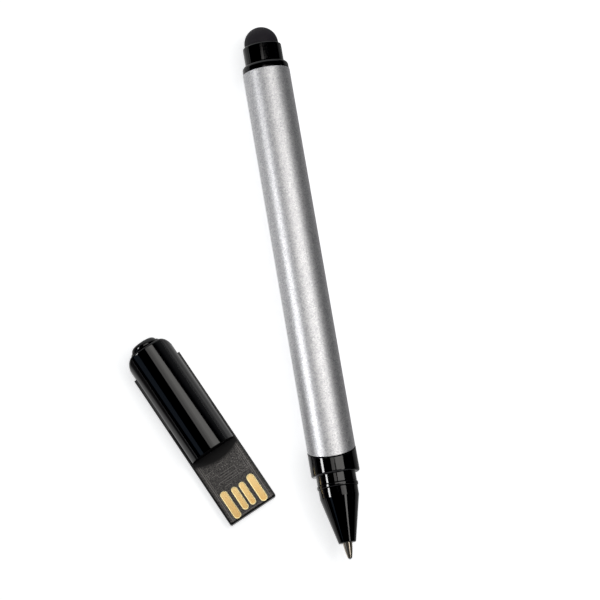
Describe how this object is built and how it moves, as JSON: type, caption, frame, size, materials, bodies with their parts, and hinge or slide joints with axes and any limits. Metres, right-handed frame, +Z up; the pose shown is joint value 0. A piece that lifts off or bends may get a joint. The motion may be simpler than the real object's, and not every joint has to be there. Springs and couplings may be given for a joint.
{
  "type": "usb flash drive pen",
  "caption": "Ball pen with a round rubber stylus end and a slanted joint at the nose, with its half-round flash drive module lying beside it.",
  "frame": {"origin": "middle of the footprint of the pen and its module, on the table they lie on", "axes": "+Z up, +Y along the pen towards its stylus end, +X away from the module, which lies on the pen's left"},
  "size_m": [0.0466, 0.1222, 0.0108],
  "materials": {
    "anodised_aluminium": "blasted and clear anodised, satin",
    "gloss_abs": "moulded, polished",
    "tray_abs": "moulded, semi-gloss",
    "conductive_rubber": "moulded, dull",
    "nickel_plate": "turned and nickel plated",
    "carbide": "ground and polished",
    "refill_plastic": "extruded, translucent",
    "ink": "ink paste",
    "epoxy_resin": "transfer moulded",
    "solder_mask": "satin lacquer over traces",
    "gold_plate": "gold plated, satin"
  },
  "bodies": {
    "pen": {"barrel_tube": "anodised_aluminium", "end_plug": "gloss_abs", "stylus_collar": "gloss_abs", "stylus_dome": "conductive_rubber", "stylus_stud": "nickel_plate", "nose_sleeve": "gloss_abs"},
    "refill": {"refill_nib": "nickel_plate", "refill_holder": "refill_plastic", "refill_tube": "refill_plastic", "refill_ink": "ink", "refill_plug": "refill_plastic"},
    "nose": {"nose_cone": "gloss_abs", "nose_ring": "gloss_abs"},
    "ball": {"writing_ball": "carbide"},
    "flash_drive": {"module_tray": "tray_abs", "module_body": "gloss_abs", "end_stud": "gloss_abs", "memory_package": "epoxy_resin", "memory_board": "solder_mask", "contact_power": "gold_plate", "contact_ground": "gold_plate", "contact_data_minus": "gold_plate", "contact_data_plus": "gold_plate"}
  },
  "joints": [
    {"name": "refill_slide", "type": "slide", "parent": "pen", "child": "refill", "axis": [0, -1, 0], "range_m": [0, 0.004]},
    {"name": "nose_turn", "type": "hinge", "parent": "refill", "child": "nose", "pos_m": [0.01789, -0.0473, 0.0054], "axis": [0, -1, 0], "range_deg": [0, 1440]},
    {"name": "ball_roll", "type": "hinge", "parent": "refill", "child": "ball", "pos_m": [0.01789, -0.0607, 0.0054], "axis": [1, 0, 0], "continuous": true},
    {"name": "module_lift", "type": "slide", "parent": "pen", "child": "flash_drive", "axis": [0, 0, 1], "range_m": [0, 0.03]}
  ],
  "couplings": [
    {"joint": "nose_turn", "follows": "refill_slide", "rad_per_m": 6283}
  ]
}
